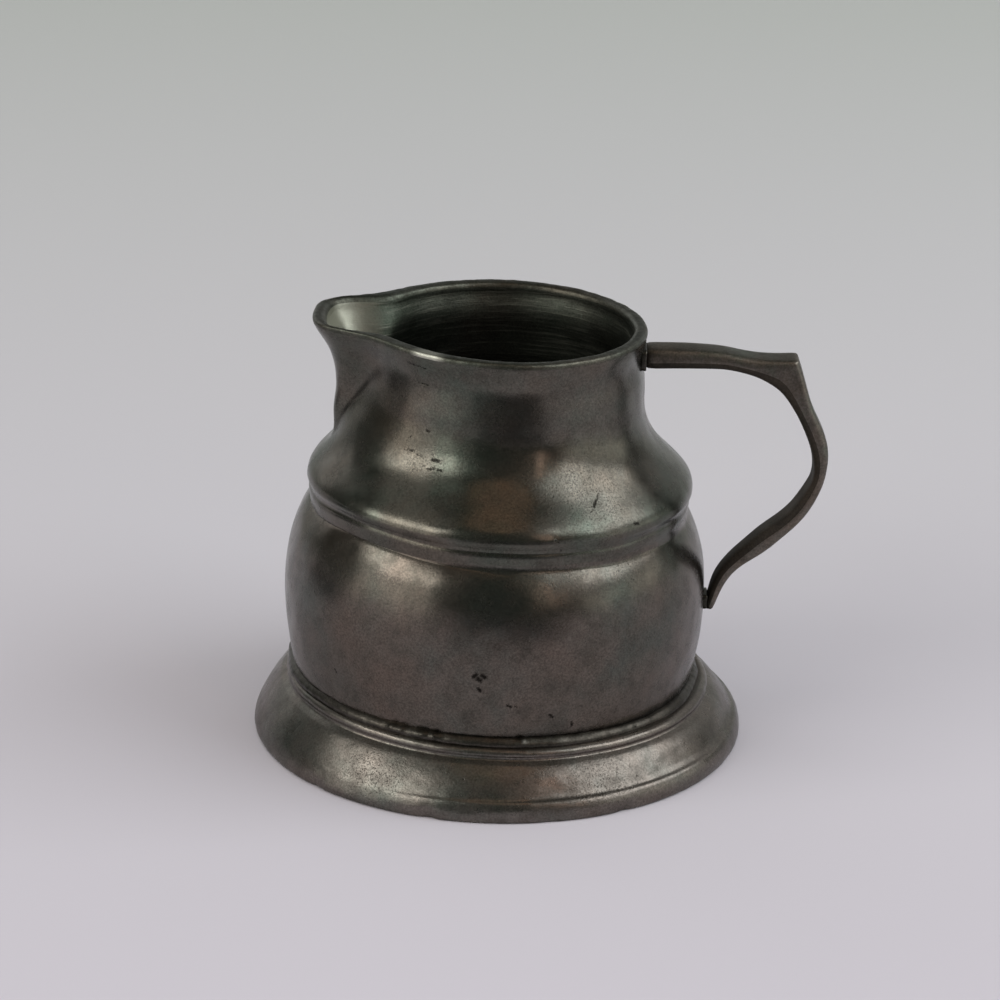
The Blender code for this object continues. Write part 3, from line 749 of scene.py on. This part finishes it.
# soft light from both sides, a faint warm lamp high in front, a narrow strip and low cards
# turn and rise in degrees as seen from the jug, far and size in m, bright is radiance
lamps = {
    "left": {"turn": -59, "rise": 30, "far": 1.5, "size": (1.40, 0.64), "bright": 4.1, "tint": "fffffa"},
    "leftHigh": {"turn": -74, "rise": 55, "far": 1.5, "size": (1.10, 0.60), "bright": 0.4, "tint": "fffffa"},
    "right": {"turn": 79, "rise": 40, "far": 1.5, "size": (1.70, 1.00), "bright": 3.25, "tint": "f8fdff"},
    "leftLow": {"turn": -57, "rise": 8, "far": 1.6, "size": (1.55, 0.52), "bright": 1.25, "tint": "fffffa"},
    "rightLow": {"turn": 80, "rise": 9, "far": 1.6, "size": (2.1, 0.52), "bright": 1.0, "tint": "fafffa"},
    "leftBack": {"turn": -146, "rise": 24, "far": 1.7, "size": (1.7, 1.4), "bright": 0.64, "tint": "ffffff"},
    "rightBack": {"turn": 144, "rise": 31, "far": 1.7, "size": (1.7, 1.4), "bright": 0.34, "tint": "ffffff"},
    "warm": {"turn": 4, "rise": 64, "far": 1.5, "size": (0.80, 1.00), "bright": 0.58, "tint": "ffd0ac"},
    "strip": {"turn": 31, "rise": 27, "far": 1.5, "size": (0.16, 0.95), "bright": 2.3, "tint": "ffe0d0"},
    "leftCard": {"turn": -57, "rise": -3, "far": 0.42, "size": (0.4, 0.11), "bright": 0.4, "tint": "fffdf6"},
    "rightCard": {"turn": 72, "rise": -3, "far": 0.42, "size": (0.4, 0.11), "bright": 0.2, "tint": "fafffa"},
    "overhead": {"turn": 0, "rise": 90, "far": 1.8, "size": (2.2, 2.2), "bright": 1.00, "tint": "fcfaff"},
}
# the overhead fill is kept out of the metal, which would wash out, and the cards serve the metal only
paperOnly = ("overhead",)
metalOnly = ("leftCard", "rightCard")
# shares of a lamp's width from its middle, where 0.5 is the frame
diffuser = {"full": 0.36, "roundFull": 0.26, "edge": (0.28, 0.42), "edgeGlow": (0.4, 2.2)}
aim = Vector((footX, 0, 0.035))
for lampName, lamp in lamps.items():
    turn, rise = math.radians(lamp["turn"]), math.radians(lamp["rise"])
    away = Vector((math.sin(turn) * math.cos(rise), -math.cos(turn) * math.cos(rise), math.sin(rise)))
    data = bpy.data.lights.new(lampName + "Softbox", "AREA")
    data.shape = "ELLIPSE" if lampName == "warm" else "RECTANGLE"
    data.size, data.size_y = lamp["size"]
    data.energy = lamp["bright"] * math.pi * data.size * data.size_y
    data.color = toLinear(lamp["tint"])[:3]
    # the diffuser is bright in the middle and falls off to its frame
    data.use_nodes = True
    tree = data.node_tree
    flat = addNode(tree, "ShaderNodeNewGeometry", {}).outputs["Parametric"]
    across = vectorNode(tree, "ABSOLUTE", vectorNode(tree, "SUBTRACT", flat, (0.5, 0.5, 0.0)))
    if lampName == "warm":
        # a round shade, brighter towards its edge
        spread = vectorNode(tree, "LENGTH", across)
        fading = remap(tree, spread, 0.5, diffuser["roundFull"], interpolation_type="SMOOTHSTEP")
        edge = remap(tree, spread, *diffuser["edge"], *diffuser["edgeGlow"])
        glow = mathNode(tree, "MULTIPLY", edge, fading)
    else:
        sides = addNode(tree, "ShaderNodeSeparateXYZ", {"Vector": across})
        outer = mathNode(tree, "MAXIMUM", sides.outputs["X"], sides.outputs["Y"])
        glow = remap(tree, outer, 0.5, diffuser["full"], interpolation_type="SMOOTHSTEP")
    tree.links.new(glow.outputs[0], tree.nodes["Emission"].inputs["Strength"])
    light = bpy.data.objects.new(lampName + "Softbox", data)
    light.location = aim + lamp["far"] * away
    light.rotation_euler = (-away).to_track_quat("-Z", "Y").to_euler()
    light.visible_camera = False
    light.visible_glossy = lampName not in paperOnly
    light.visible_diffuse = lampName not in metalOnly
    bpy.context.collection.objects.link(light)

world = bpy.data.worlds.new("dimRoom")
bpy.context.scene.world = world
world.use_nodes = True
world.node_tree.nodes["Background"].inputs["Color"].default_value = toLinear("b8bdb6")
world.node_tree.nodes["Background"].inputs["Strength"].default_value = 0.24
print("lamps hung")

# camera fitted to the photograph: height, distance, lens and the slight roll of the frame
view = {"rise": 20.38, "far": 0.560, "aimZ": 0.04095, "lens": 117.43, "roll": 1.30, "shiftX": -0.00175}
camData = bpy.data.cameras.new("photoCamera")
camData.sensor_width = 36.0
camData.lens = view["lens"]
camData.shift_x = view["shiftX"]
camera = bpy.data.objects.new("photoCamera", camData)
bpy.context.collection.objects.link(camera)
rise = math.radians(view["rise"])
back = Vector((0, -math.cos(rise), math.sin(rise)))
camera.location = Vector((footX, 0, view["aimZ"])) + view["far"] * back
camera.rotation_euler = ((-back).to_track_quat("-Z", "Y").to_matrix() @
                         Matrix.Rotation(math.radians(view["roll"]), 3, "Z")).to_euler()
bpy.context.scene.camera = camera
bpy.context.scene.view_settings.view_transform = "Standard"
